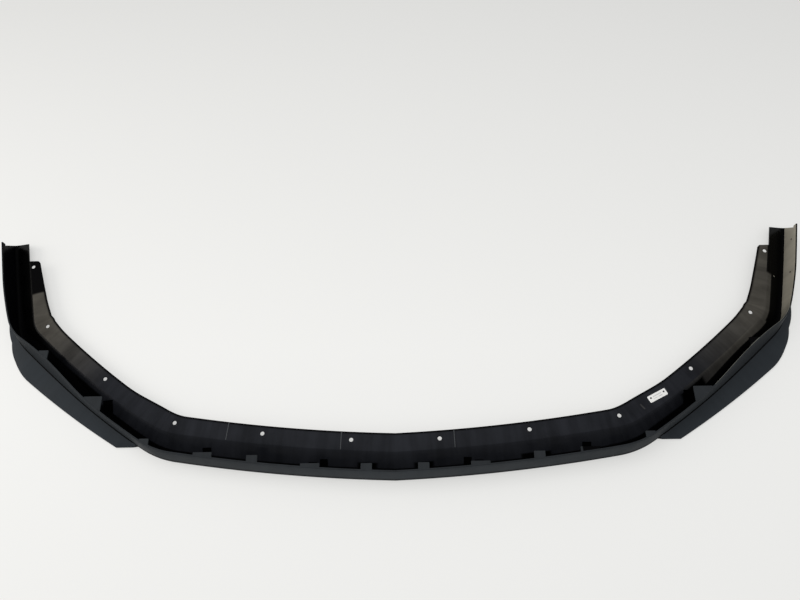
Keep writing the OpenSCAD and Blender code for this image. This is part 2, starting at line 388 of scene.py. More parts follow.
@dataclass(frozen=True)
class Section:
    """The moulding's section, which changes along the foot line."""

    wall: float = 3.0
    wall_h: float = 48.0
    flange_z: float = 22.0
    width_front: float = 87.0
    width_corner: float = 79.0
    width_end: float = 61.0
    bend_fill: float = 4.5
    front_fill: float = 4.0
    ramp_front: float = 51.0
    ramp_side: float = 44.0
    foot_r: float = 7.0
    lean_front: float = 8.5
    lean_side: float = -4.0
    lean_corner: float = 9.0
    blade_front: float = 71.7
    blade_start: float = 24.0
    blade_reach: float = 39.0
    blade_tail: float = 17.0
    blade_edge: float = 4.0
    blade_edge_r: float = 2.0
    groove_rise: float = 5.0
    groove_depth: float = 1.0
    keel_inner: float = 13.0
    ramp_round: float = 4.5
    ramp_dip: float = 1.5
    line: FootLine = field(default_factory=FootLine)

    def corner_span(self) -> tuple[float, float]:
        """Between which stations the width and the ramp change at the front bend."""
        bend, corner = self.line.marks()[:2]
        return bend - 25, corner + 100

    def plain_width(self, s: np.ndarray) -> np.ndarray:
        """Foot line to rear edge: one smooth step to the corner and one along the side.

        Args:
            s: stations, none negative.

        Returns:
            The widths.
        """
        _, _, arch, _, end = self.line.marks()
        return (blend(self.width_front, self.width_corner, *self.corner_span(), s)
                + blend(0.0, self.width_end - self.width_corner, arch, end, s))

    def width(self, s: np.ndarray) -> np.ndarray:
        """The plain width, and more at both bends, which rounds the rear edge.

        Args:
            s: stations, none negative.

        Returns:
            The widths.
        """
        _, corner, arch, side, _ = self.line.marks()
        return (self.plain_width(s) + self.bend_fill * hump(s, (arch + side) / 2, 75.0)
                + self.front_fill * hump(s, corner + 8, 100.0))

    def ramp(self, s: np.ndarray) -> np.ndarray:
        """Foot line to the flange's front edge."""
        return blend(self.ramp_front, self.ramp_side, *self.corner_span(), s)

    def lean(self, s: np.ndarray) -> np.ndarray:
        """How far the wall's top leans in; out at the side, with a hump along the corner.

        Args:
            s: stations, none negative.

        Returns:
            The leans, negative where the wall leans out.
        """
        arch, side = self.line.marks()[2:4]
        return (blend(self.lean_front, self.lean_side, arch - 45, side + 105, s)
                + self.lean_corner * hump(s, arch - 75, 160.0))

    def wall_at(self, s: np.ndarray, z: Any) -> np.ndarray:
        """Outside of the wall at height z: straight up from the foot's round."""
        return -self.lean(s) * np.maximum(0.0, z - self.foot_r) / (self.wall_h - self.foot_r)

    def blade(self, s: np.ndarray) -> np.ndarray:
        """Reach of the corner blade: from a line across the car to a tail that fades on the side.

        Args:
            s: stations, none negative.

        Returns:
            The reaches, 0 where there is no blade.
        """
        _, corner, arch, side, _ = self.line.marks()
        _, y, heading = self.line.walk(s)
        front = (y - self.blade_front) / np.cos(heading)
        widest = arch - 55
        grow = (s - corner - 30) / (widest - corner - 30)
        full = self.blade_start + (self.blade_reach - self.blade_start) * grow
        wide = full * blend(1.0, 0.0, widest, side + 40, s)
        tail = self.blade_tail * blend(1.0, 0.0, side, side + 110, s)
        return np.maximum(0.0, np.minimum(front, np.maximum(wide, tail)))

    def corners(self, s: np.ndarray) -> tuple[np.ndarray, np.ndarray]:
        """Corner points of the closed section and the radius of each.

        They run along the lower and outer side from the rear edge to the top of the wall, then
        back along the inner and upper side. With no blade, the blade's points lie on the wall.

        Args:
            s: stations, none negative.

        Returns:
            Points (d, z), shape (stations, corners, 2), and the radii.
        """
        w, b, reach, lean = self.width(s), self.ramp(s), self.blade(s), self.lean(s)
        fz, t, fr = self.flange_z, self.wall, self.foot_r
        k = smooth(reach / fr)
        r, c = mix(fr, self.blade_edge_r, k), math.cos(math.pi / 4)
        groove = fr + self.groove_rise
        below, brink = fr + 0.48 * self.groove_rise, fr + 0.72 * self.groove_rise
        mid, ri = (groove + self.wall_h) / 2, fr - t
        table = [
            (-w, fz - t, 0.9), (-b - 1, fz - t, 3.0),
            (-b + self.ramp_round - 1, fz - t - self.ramp_dip, 3.0),
            (-self.line.keel, 0.0, 3.0), (-fr - 4, 0.0, 1.0), (reach - r, 0.0, 1.6),
            (reach - r + r * c, r - r * c, 1.6), (reach, r, 1.6),
            (reach, mix(fr + 0.24 * self.groove_rise, self.blade_edge, k), 0.9),
            (mix(self.wall_at(s, below), reach * 0.5, k),
             mix(below, mix(self.blade_edge, groove, 0.42), k), 2.5),
            (mix(self.wall_at(s, brink), self.wall_at(s, groove) + self.groove_depth, k), brink, 0.7),
            (self.wall_at(s, groove) - self.groove_depth * k, groove - 0.2, 0.5),
            (self.wall_at(s, groove + 1.5), groove + 1.5, 0.9),
            (self.wall_at(s, mid) + 0.6, mid, 12.0), (-lean, self.wall_h, 0.9),
            (-lean - t, self.wall_h, 0.7), (self.wall_at(s, mid) + 0.6 - t, mid, 12.0),
            (-t, fr, 1.4), (-fr + ri * c, fr - ri * c, 1.4), (-fr, t, 1.4),
            (-self.keel_inner, t + 0.4, 2.5), (-b + self.ramp_round, fz - self.ramp_dip, 2.2),
            (-b, fz, 2.2), (-w, fz, 0.9),
        ]
        points = np.stack([np.stack([d + 0 * s, z + 0 * s], axis=-1) for d, z, _ in table], axis=1)
        return points, np.array([radius for _, _, radius in table])


# Shader graphs


class Wire:
    """An output socket on which arithmetic adds Math nodes."""

    def __init__(self, graph: "Graph", socket: bpy.types.NodeSocket) -> None:
        """Args: graph: the graph it belongs to. socket: the output socket."""
        self.graph, self.socket = graph, socket

    def _math(self, operation: str, first: Any, second: Any) -> "Wire":
        """A Math node of two values."""
        return self.graph.node("ShaderNodeMath", {"operation": operation}, {0: first, 1: second})

    def __add__(self, other: Any) -> "Wire":
        """self + other."""
        return self._math("ADD", self, other)

    def __sub__(self, other: Any) -> "Wire":
        """self - other."""
        return self._math("SUBTRACT", self, other)

    def __rsub__(self, other: Any) -> "Wire":
        """other - self."""
        return self._math("SUBTRACT", other, self)

    def __mul__(self, other: Any) -> "Wire":
        """self * other."""
        return self._math("MULTIPLY", self, other)

    def __truediv__(self, other: Any) -> "Wire":
        """self / other."""
        return self._math("DIVIDE", self, other)

    __radd__, __rmul__ = __add__, __mul__

    def ramp(self, low: float, high: float, out_low: float = 0.0, out_high: float = 1.0) -> "Wire":
        """Smooth step of this value from low to high, between two outputs.

        Args:
            low: value at which the step starts.
            high: value at which it ends.
            out_low: output at low.
            out_high: output at high.

        Returns:
            The step's wire.
        """
        return self.graph.node("ShaderNodeMapRange", {"interpolation_type": "SMOOTHSTEP"},
                               {"Value": self, "From Min": low, "From Max": high,
                                "To Min": out_low, "To Max": out_high})

    def band(self, low: float, high: float, soft: float) -> "Wire":
        """1 from low to high and 0 outside, with soft steps."""
        return self.ramp(low - soft, low + soft).least(self.ramp(high + soft, high - soft))

    def least(self, other: Any) -> "Wire":
        """The smaller of this value and the other."""
        return self._math("MINIMUM", self, other)

    def most(self, other: Any) -> "Wire":
        """The larger of this value and the other."""
        return self._math("MAXIMUM", self, other)


class Graph:
    """The nodes of one material or world."""

    def __init__(self, tree: bpy.types.NodeTree) -> None:
        """Args: tree: a node tree, which is emptied."""
        tree.nodes.clear()
        self.tree = tree

    def node(self, kind: str, settings: Optional[dict] = None, inputs: Optional[dict] = None,
             output: Union[int, str] = 0) -> Wire:
        """Adds a node, sets it up, then fills its sockets.

        Args:
            kind: the node's type.
            settings: its properties; "stops" fills a colour ramp with (position, colour).
            inputs: values or wires by socket name or number.
            output: the socket that is returned.

        Returns:
            The wire from that socket.
        """
        made = self.tree.nodes.new(kind)
        for name, value in (settings or {}).items():
            if name == "stops":
                elements = made.color_ramp.elements
                elements.remove(elements[1])
                elements[0].position, elements[0].color = value[0]
                for position, colour in value[1:]:
                    elements.new(position).color = colour
            else:
                setattr(made, name, value)
        for name, value in (inputs or {}).items():
            if isinstance(value, Wire):
                self.tree.links.new(value.socket, made.inputs[name])
            else:
                made.inputs[name].default_value = value
        return Wire(self, made.outputs[output]) if len(made.outputs) else Wire(self, None)

    def looked_at(self) -> Wire:
        """1 for what the camera sees, straight, in a reflection or through glass.

        Returns:
            The mask.
        """
        names = ("Is Camera Ray", "Is Glossy Ray", "Is Transmission Ray")
        camera, glossy, through = (self.node("ShaderNodeLightPath", {}, {}, name) for name in names)
        return camera.most(glossy).most(through)

    def noise(self, at: Wire, scale: float, detail: float = 2.0, rough: float = 0.5) -> Wire:
        """Soft noise of about 0 to 1 at a position."""
        return self.node("ShaderNodeTexNoise", {}, {"Vector": at, "Scale": scale, "Detail": detail,
                                                    "Roughness": rough}, "Fac")

    def stretched(self, at: Wire, factors: tuple[float, float, float]) -> Wire:
        """A position times three factors."""
        return self.node("ShaderNodeVectorMath", {"operation": "MULTIPLY"}, {0: at, 1: factors})

    def axis(self, at: Wire, name: str) -> Wire:
        """One of X, Y and Z of a vector."""
        return self.node("ShaderNodeSeparateXYZ", {}, {0: at}, name)

    def position(self) -> Wire:
        """The place on the object, in its own coordinates."""
        return self.node("ShaderNodeTexCoord", {}, {}, "Object")

    def attribute(self, name: str) -> Wire:
        """A vector attribute of the mesh."""
        return self.node("ShaderNodeAttribute", {"attribute_name": name}, {}, "Vector")

    def mixed(self, factor: Wire, low: Any, high: Any) -> Wire:
        """A colour from low to high."""
        return self.node("ShaderNodeMix", {"data_type": "RGBA"}, {"Factor": factor, 6: low, 7: high}, 2)

    def shade(self, factor: Wire, dim: float, colour: Sequence[float]) -> Wire:
        """A colour that goes from dimmed to full."""
        return self.mixed(factor, (*(dim * c for c in colour), 1.0), (*colour, 1.0))

    def scaled(self, colour: Any, factor: Wire) -> Wire:
        """A colour times one factor."""
        return self.node("ShaderNodeVectorMath", {"operation": "SCALE"}, {0: colour, "Scale": factor})

    def bump(self, strength: float, distance: float, height: Wire) -> Wire:
        """A bumped normal."""
        return self.node("ShaderNodeBump", {}, {"Strength": strength, "Distance": distance,
                                                "Height": height})

    def surface(self, colour: Any, rough: Any, gloss: float, more: Optional[dict] = None) -> Wire:
        """A Principled shader; more holds its further sockets."""
        return self.node("ShaderNodeBsdfPrincipled", {}, {
            "Base Color": colour, "Roughness": rough, "Specular IOR Level": gloss, **(more or {})})

    def between(self, share: Wire, first: Wire, second: Wire) -> Wire:
        """A mix of two shaders."""
        return self.node("ShaderNodeMixShader", {}, {0: share, 1: first, 2: second})

    def output(self, shader: Wire, kind: str = "Material") -> None:
        """Ends the graph with a shader."""
        self.node("ShaderNodeOutput" + kind, {}, {"Surface": shader})


def new_material(name: str) -> tuple[bpy.types.Material, Graph]:
    """A new material and the graph of its nodes.

    Args:
        name: the material's name.

    Returns:
        The material and its graph, which is empty.
    """
    made = bpy.data.materials.new(name)
    made.use_nodes = True
    return made, Graph(made.node_tree)


def albedo(tone: Sequence[float], shine: float) -> tuple[float, float, float, float]:
    """Base colour that shows as the given display values, 0 to 255, under this studio's light.

    A display value v, as a share, is light v^2.2. The reflection, shine, is taken off, and the
    rest is divided by the light that falls on the part.

    Args:
        tone: red, green and blue display values.
        shine: light that the surface reflects whatever its colour.

    Returns:
        The base colour.
    """
    light = (np.array(tone) / 255.0) ** DISPLAY_GAMMA
    plain = np.maximum((light - shine) / LIGHT_ON_PART, DARKEST)
    return (*(float(v) for v in plain), 1.0)


@dataclass(frozen=True)
class Run:
    """How a surface's tone changes along the strip, mostly painted light and shade: (station in mm,
    red, green, blue) stops.
    """

    stops: tuple

    def wire(self, g: Graph, station: Wire, shine: float) -> Wire:
        """The colour at a station, which comes in metres, on a surface of that shine.

        Args:
            g: the material's graph.
            station: the station, in metres.
            shine: light that the surface reflects whatever its colour.

        Returns:
            The colour.
        """
        low, high = self.stops[0][0] - RUN_MARGIN, self.stops[-1][0] + RUN_MARGIN
        share = (station / MM - low) / (high - low)
        stops = [((s - low) / (high - low), albedo(tone, shine)) for s, *tone in self.stops]
        return g.node("ShaderNodeValToRGB", {"stops": stops}, {"Fac": share})


@dataclass(frozen=True)
class Patch:
    """A soft box in station and distance from the foot line with a tone of its own: mostly painted
    shade, sheen or highlight, and once a small mark.
    """

    s: tuple[float, float]
    d: tuple[float, float]
    tone: tuple[float, float, float] = (0, 0, 0)
    soft: float = 1.0


class Zone(Enum):
    """The kinds of surface on the moulding, in the order of its material slots."""

    SKIN = 0
    FLANGE = 1
    RAMP = 2
    POCKET = 3
    INNER_WALL = 4
    BLADE = 5
    GROOVE = 6
    CREST = 7
    RIB = 8


@dataclass(frozen=True)
class PlasticFinish:
    """One finish of the black plastic: tones along the strip, mostly painted light and shade, then
    gloss, grain and rims of painted shade.

    Patches have their own tone: mostly painted shade, sheen or highlight, and one small mark. shades
    are patches of unlit black, which is painted shade. With from_top their d is the distance from the
    outer edge of the wall's top. rims are (axis, from, to) on the edge attribute in mm: the surface is
    unlit black, painted shade, at from and keeps its tone past to.
    """

    name: str
    run: Run
    gloss: float
    rough: tuple[float, float]
    grain: float
    grain_scale: float
    marks: float = 0.35
    shine: float = 0.0045
    from_top: bool = False
    patches: tuple = ()
    shades: tuple = ()
    rims: tuple = ()

    def material(self) -> bpy.types.Material:
        """The finish as a material.

        The painted light and shade follow the station, then the patches are laid over it. Clouds and
        flow marks across the strip scale it, and the rims and shades mix in a shader that reflects
        almost nothing, which is painted shade.

        Returns:
            The material.
        """
        made, g = new_material(self.name)
        at, strip, edge = g.position(), g.attribute("strip"), g.attribute("edge")
        cloud = g.noise(at, 16.0, 3.0, 0.55).ramp(0.3, 0.7)
        flow = g.noise(g.stretched(strip, (55.0, 7.0, 7.0)), 1.0, 3.0, 0.6).ramp(0.3, 0.7)
        speck = g.noise(at, 900.0, 2.0, 0.6)
        station = g.axis(strip, "X")
        distance = g.axis(edge if self.from_top else strip, "Y")
        wander = (g.noise(at, 22.0, 2.0) - 0.5) * 0.012
        colour = self.run.wire(g, station + wander, self.shine)
        station = station + wander * 0.5
        distance = distance + wander * (0.05 if self.from_top else 0.3)
        for patch in self.patches:
            share = self._inside(patch, station, distance)
            colour = g.mixed(share, colour, albedo(patch.tone, self.shine))
        tone = (cloud * 0.5 + flow * 0.5) * self.marks + (1.0 - self.marks * 0.5)
        rough = cloud.ramp(0.0, 1.0, *self.rough) + (speck - 0.5) * 0.08
        bump = g.bump(self.grain, 0.0002, g.noise(at, self.grain_scale, 3.0, 0.6) + flow * 0.2)
        shader = g.surface(g.scaled(colour, tone), rough, self.gloss, {"IOR": 1.5, "Normal": bump})
        lit = [1.0 - self._inside(patch, station, distance) for patch in self.shades]
        lit += [g.axis(edge, axis).ramp(start * MM, end * MM) for axis, start, end in self.rims]
        for share in lit:
            shader = g.between(share, g.surface(UNLIT_BLACK, 0.6, 0.02), shader)
        g.output(shader)
        return made

    @staticmethod
    def _inside(patch: Patch, station: Wire, distance: Wire) -> Wire:
        """Mask of a patch, whose sides are sharper across the strip than along it."""
        s0, s1, d0, d1, soft = (v * MM for v in (*patch.s, *patch.d, patch.soft))
        return station.band(s0, s1, soft).least(distance.band(d0, d1, soft * 0.4))


@dataclass(frozen=True)
class PaperFinish:
    """White sticker paper with two dots and plain grey bars, drawn on the label's own UV map."""

    name: str = "label_paper"
    paper: tuple[float, float, float] = (0.80, 0.80, 0.78)
    ink: tuple[float, float, float] = (0.03, 0.03, 0.035)
    grey: tuple[float, float, float] = (0.42, 0.42, 0.43)

    def material(self) -> bpy.types.Material:
        """The paper as a material. u runs along the label in millimetres and v across it.

        Returns:
            The material.
        """
        made, g = new_material(self.name)
        uv = g.node("ShaderNodeUVMap", {"uv_map": "sheet"}, {})
        u, v = g.axis(uv, "X") * LABEL_SIZE[0], g.axis(uv, "Y") * LABEL_SIZE[1]
        fibre = g.noise(g.position(), 1500.0, 3.0, 0.6)
        dots = self._dot(u, v, 5.5, 8.2).most(self._dot(u, v, 35.0, 8.2))
        bars = self._bar(u, v, 10.5, 18.5, 4.0, 5.0).most(self._bar(u, v, 10.5, 29.5, 8.0, 9.6))
        bars = bars.most(self._bar(u, v, 20.5, 29.5, 3.6, 5.2))
        bars = bars * (g.noise(uv, 60.0, 2.0, 0.5).ramp(0.3, 0.6, 0.4, 1.0))
        colour = g.shade(fibre, 0.95, self.paper)
        for mask, tint in ((bars, self.grey), (dots, self.ink)):
            colour = g.mixed(mask, colour, (*tint, 1.0))
        bump = g.bump(0.15, 0.00005, fibre)
        g.output(g.surface(colour, fibre * 0.1 + 0.55, 0.35, {"Normal": bump}))
        return made

    def _dot(self, u: Wire, v: Wire, at_u: float, at_v: float) -> Wire:
        """Mask of a dot of radius 1.9, from the squared distance."""
        du, dv = u - at_u, v - at_v
        return (du * du + dv * dv).ramp(4.2, 2.8)

    def _bar(self, u: Wire, v: Wire, u0: float, u1: float, v0: float, v1: float) -> Wire:
        """Mask of a bar between two u and two v."""
        return u.band(u0, u1, 0.2).least(v.band(v0, v1, 0.2))


# Pieces


def linked(name: str, data: Any) -> bpy.types.Object:
    """A new object of the scene, with that data.

    Args:
        name: the object's name.
        data: its mesh, lamp or camera.

    Returns:
        The object.
    """
    made = bpy.data.objects.new(name, data)
    bpy.context.scene.collection.objects.link(made)
    return made


def soften(mesh: bpy.types.Mesh, degrees: float) -> None:
    """Smooth shading, but for edges sharper than an angle."""
    mesh.polygons.foreach_set("use_smooth", np.ones(len(mesh.polygons), bool))
    mesh.set_sharp_from_angle(angle=math.radians(degrees))


def vectors(items: Any, name: str) -> np.ndarray:
    """A vector property of all the items, shape (n, 3).

    Args:
        items: vertices or faces of a mesh.
        name: the property.

    Returns:
        The values.
    """
    values = np.zeros(len(items) * 3)
    items.foreach_get(name, values)
    return values.reshape(-1, 3)


def boolean(base: bpy.types.Object, shell: Shell, operation: str) -> None:
    """Adds a shell to an object's mesh, or cuts it out.

    Args:
        base: the object, whose mesh is replaced.
        shell: the other solid, in millimetres.
        operation: UNION or DIFFERENCE.
    """
    tool = linked("tool", shell.outward().mesh("tool"))
    step = base.modifiers.new("step", "BOOLEAN")
    step.operation, step.object, step.solver = operation, tool, "MANIFOLD"
    graph = bpy.context.evaluated_depsgraph_get()
    result = bpy.data.meshes.new_from_object(base.evaluated_get(graph))
    old = base.data
    base.modifiers.remove(step)
    base.data = result
    bpy.data.meshes.remove(old)
    cutter = tool.data
    bpy.data.objects.remove(tool)
    bpy.data.meshes.remove(cutter)


@dataclass
class Moulding:
    """The lip itself: a section carried along the foot line, with its lugs, ribs, holes and cuts."""

    section: Section = field(default_factory=Section)
    hole_d: float = 8.0
    hole_inset: float = 15.5
    side_hole_d: float = 4.0
    side_hole_z: float = 30.0
    drain_d: float = 4.5
    chamfer: float = 0.5
    lug_t: float = 2.6
    lug_step: float = 0.4
    lug_w: float = 21.0
    lug_reach: float = 11.0
    seat_w: float = 36.0
    seat_reach: float = 4.5
    corner_lug_reach: float = 2.0
    end_rake: float = 26.0
    tab_setback: float = 52.0
    tab_r: float = 6.0
    free_edge: float = 40.5
    ear_l: float = 9.0
    ear_h: float = 10.0
    rib_w: float = 1.8
    rib_h: float = 0.8
    pocket_depth: float = 1.4
    nib_d: float = 2.0
    nib_h: float = 1.0
    hole_stations: tuple = (89, 265, 455, 656, 847, 1035)
    hooked_stations: tuple = (53.5, 269)
    seating_stations: tuple = (159, 364)
    corner_lugs: tuple = ((475, 497), (600, 646), (768, 794))
    rib_stations: tuple = (-334, -108, 117)
    nib_stations: tuple = (-297, 0, 297)
    side_hole_stations: tuple = (990, 1070)
    drain: tuple = (984, -24)
    pockets: tuple = ((129, 144, -239.7, -225.3), (149.7, 166.7, -238, -229.7),
                      (354.4, 372, -219.4, -199.8), (559.5, 582, -126.5, -103))
    corner_steps: int = 3

    def stations(self) -> np.ndarray:
        """Stations of both halves, closer where the line bends or the blade begins.

        Returns:
            The stations in order, from left to right.
        """
        bend, corner, arch, side, end = self.section.line.marks()
        spans = ((0, bend, 80), (bend, corner, 30), (corner, corner + 60, 45),
                 (corner + 60, arch, 66), (arch, side, 30), (side, end + 1, 46))
        half = np.unique(np.concatenate([np.linspace(a, b, n) for a, b, n in spans]).round(6))
        return np.concatenate([-half[:0:-1], half])

    def strip(self) -> Shell:
        """The plain strip: the rounded section placed at every station.

        Returns:
            The closed shell.
        """
        s = self.stations()
        corners, radii = self.section.corners(np.abs(s))
        outline = rounded(corners, radii, self.corner_steps)
        return tube(self.section.line.place(s[:, None], outline[:, :, 0], outline[:, :, 1]))

    def both(self, shells: Iterable[Shell]) -> list[Shell]:
        """The shells and their mirror images in X."""
        kept = list(shells)
        return kept + [shell.moved(np.diag([-1.0, 1.0, 1.0, 1.0])) for shell in kept]

    def lug(self, s1: float, s2: float, reach: float) -> Shell:
        """A lug between two stations of the wall, its rear edge across the car.

        Args:
            s1: station of its first edge.
            s2: station of its second edge.
            reach: how far it stands out behind the wall.

        Returns:
            The closed shell.
        """
        half = self.section.wall / 2

        def root(s: float) -> np.ndarray:
            """Middle of the wall in plan, at its top."""
            return self.section.line.point(s, -value_at(self.section.lean, s) - half)[:2]

        a, b = root(s1), root(s2)
        back = b[1] + half + reach
        sharp = np.array([[a, b, [b[0], back], [a[0], back]]])
        outline = rounded(sharp, np.array([0.1, 0.1, 1.2, 1.2]), 4)[0]
        top = self.section.wall_h - self.lug_step
        low = top - self.lug_t
        return prism(outline, ((0.3, low), (0.0, low + 0.3), (0.0, top - 0.4), (0.4, top)))

    def lugs(self) -> list[Shell]:
        """Hooked, seating and corner lugs of both sides.

        Returns:
            The lugs.
        """
        spans = [(s - w / 2, s + w / 2, reach) for stations, w, reach in (
            (self.hooked_stations, self.lug_w, self.lug_reach),
            (self.seating_stations, self.seat_w, self.seat_reach)) for s in stations]
        spans += [(a, b, self.corner_lug_reach) for a, b in self.corner_lugs]
        return self.both(self.lug(*span) for span in spans)

    def ribs(self) -> list[Shell]:
        """Low half-round ribs across the flange: x = w/2 cos t, z = h sin t.

        Returns:
            The ribs.
        """
        t = np.linspace(0.0, math.pi, 9)
        arch = np.column_stack([self.rib_w / 2 * np.cos(t), self.rib_h * np.sin(t)])
        arch = np.vstack([arch, [[-self.rib_w / 2, -1.0], [self.rib_w / 2, -1.0]]])
        made, sec = [], self.section
        for s in self.rib_stations:
            near, deep = value_at(sec.ramp, abs(s)) + 1, value_at(sec.width, abs(s)) - 1.5
            rings = [np.column_stack([arch[:, 0], np.full(len(arch), y), arch[:, 1]])
                     for y in (0.0, deep - near)]
            made.append(tube(rings).moved(sec.line.stand(s, -near, sec.flange_z)))
        return made

    def nibs(self) -> list[Shell]:
        """Domed nibs on the top of the wall.

        Returns:
            The nibs.
        """
        r, h, sec = self.nib_d / 2, self.nib_h, self.section
        dome = lathe([(r, -2.0), (r, 0.4 * h), (0.8 * r, 0.8 * h), (0.3 * r, h)], 16)
        return [dome.moved(sec.line.stand(s, -value_at(sec.lean, abs(s)) - sec.wall / 2, sec.wall_h))
                for s in self.nib_stations]

    def holes(self) -> list[Shell]:
        """Cutters of the screw, side and drain holes, with a chamfer on both faces of the flange.

        Returns:
            The cutters.
        """
        sec, line, top = self.section, self.section.line, self.section.flange_z
        r, c, low = self.hole_d / 2, self.chamfer, top - sec.wall
        bore = lathe([(r + c + 1, low - 1), (r, low + c), (r, top - c), (r + c + 1, top + 1)], 40)
        made = [bore.moved(line.stand(s, self.hole_inset - value_at(sec.plain_width, s)))
                for s in self.hole_stations]
        turn = np.array([[1.0, 0, 0, 0], [0, 0, 1.0, 0], [0, -1.0, 0, 0], [0, 0, 0, 1.0]])
        pin = lathe([(self.side_hole_d / 2, -6.0), (self.side_hole_d / 2, 12.0)], 24)
        made += [pin.moved(line.stand(s, 0, self.side_hole_z) @ turn) for s in self.side_hole_stations]
        drain = lathe([(self.drain_d / 2, -1.0), (self.drain_d / 2, top)], 24)
        return self.both(made) + [drain.moved(line.stand(*self.drain))]

    def ramp_height(self, points: np.ndarray) -> np.ndarray:
        """Height of the trough's floor and ramp at points: flat, then a straight rise.

        Args:
            points: X and Y first, in millimetres.

        Returns:
            The heights.
        """
        sec = self.section
        s, d, _ = sec.line.locate(points)
        low, high = sec.wall + 0.4, sec.flange_z - sec.ramp_dip
        run = sec.ramp(np.abs(s)) - sec.ramp_round - sec.keel_inner
        return low + (high - low) * np.clip((-d - sec.keel_inner) / run, 0.0, 1.0)

    def pocket_cutters(self) -> list[Shell]:
        """Cutters of the pockets: upright boxes whose floor follows the ramp, a depth below it.

        Returns:
            The cutters.
        """
        made = []
        for x0, x1, y0, y1 in self.pockets:
            box = np.array([[[x0, y0], [x1, y0], [x1, y1], [x0, y1]]], float)
            outline = rounded(box, np.full(4, 1.2), 4)[0]
            height = self.ramp_height(outline)
            made.append(tube([raised(outline, height + lift) for lift in (-self.pocket_depth, 3.0)]))
        return self.both(made)

    def end_cutters(self) -> list[Shell]:
        """What lies behind the slanted end of the side, but for the ear at the top of the wall.

        In the end's own frame the plane is x cos w + y sin w = -z r / h, with the yaw w, the rake
        r and the wall's height h.

        Returns:
            One cutter for each side.
        """
        sec = self.section
        yaw = math.radians(sec.line.end_yaw)
        slope = self.end_rake / sec.wall_h / math.cos(yaw)
        ear_z, ear_x = sec.wall_h - self.ear_h, self.ear_l - self.end_rake

        def ring(y: float) -> list[tuple[float, float, float]]:
            """Outline of the cut at y.

            Args:
                y: distance across the end.

            Returns:
                Points of the outline.
            """
            skew = y * math.tan(yaw)
            return [(50 * slope - skew, y, -50), (-ear_z * slope - skew, y, ear_z),
                    (ear_x, y, ear_z), (ear_x, y, 90), (90, y, 90), (90, y, -50)]

        block = tube([ring(-110.0), ring(110.0)])
        return self.both([block.moved(sec.line.stand(sec.line.marks()[-1]))])

    def flange_end_cutters(self) -> list[Shell]:
        """The room beside the free edge, up to the rounded end of the flange.

        Returns:
            One cutter for each side.
        """
        sec, line = self.section, self.section.line
        end = line.marks()[-1]

        def at(s: float, d: float) -> np.ndarray:
            """Point in plan at (s, d)."""
            return line.point(s, d)[:2]

        y_end = at(end, 0)[1]
        y_tab, s_tab = y_end - self.tab_setback, end - self.tab_setback
        rear, last = (at(s, -value_at(sec.width, s)) for s in (s_tab, end))
        turn = math.atan2(last[1] - rear[1], last[0] - rear[0])
        rear_x = rear[0] + (y_tab - rear[1]) / math.tan(turn)
        centre = np.array([rear_x + self.tab_r * (1 - math.cos(turn)) / math.sin(turn) - 0.3,
                           y_tab - self.tab_r])
        e0, e1 = at(s_tab - self.tab_setback, -self.free_edge), at(end + 20, -self.free_edge)
        edge_x = e0[0] + (y_tab - e0[1]) * (e1[0] - e0[0]) / (e1[1] - e0[1])
        angles = np.linspace(math.pi / 2 + turn, math.pi / 2 + 0.02, 10)
        arc = centre + self.tab_r * np.column_stack([np.cos(angles), np.sin(angles)])
        outline = np.vstack([[edge_x, y_tab], e1, [e1[0], y_end + 200], [rear_x - 50, y_end + 200],
                             [rear_x - 50, y_tab - self.tab_r], arc, [centre[0], y_tab]])
        return self.both([tube([raised(outline, z) for z in (-1.0, 25.0)])])

    def build(self) -> bpy.types.Object:
        """Makes the piece: the strip, with lugs, ribs and nibs added, then every cut.

        Returns:
            The object, with the strip attribute and a material index on every face.
        """
        piece = linked("lip_moulding", self.strip().mesh("lip_moulding"))
        boolean(piece, joined(self.lugs() + self.ribs() + self.nibs()), "UNION")
        for cutters in (self.pocket_cutters(), self.holes(), self.end_cutters(),
                        self.flange_end_cutters()):
            boolean(piece, joined(cutters), "DIFFERENCE")
        piece.data.materials.clear()
        self.measure(piece.data)
        soften(piece.data, 32)
        return piece

    def measure(self, mesh: bpy.types.Mesh) -> None:
        """Writes two attributes on every vertex, in metres, and the zone on every face.

        strip is (s, d, z). edge is the distance from the rear edge, the distance from the outer
        edge of the wall's top, and the height.

        Args:
            mesh: the moulding's mesh, in metres.
        """
        points = vectors(mesh.vertices, "co") / MM
        s, d, _ = self.section.line.locate(points)
        rear, top = d + self.section.width(np.abs(s)), d + self.section.lean(np.abs(s))
        for name, second, first in (("strip", d, s), ("edge", top, rear)):
            values = np.column_stack([first, second, points[:, 2]]) * MM
            mesh.attributes.new(name, "FLOAT_VECTOR", "POINT").data.foreach_set(
                "vector", values.ravel())
        faces = mesh.polygons
        zones = self.zones(vectors(faces, "center") / MM, vectors(faces, "normal"))
        faces.foreach_set("material_index", zones.astype(np.int32))

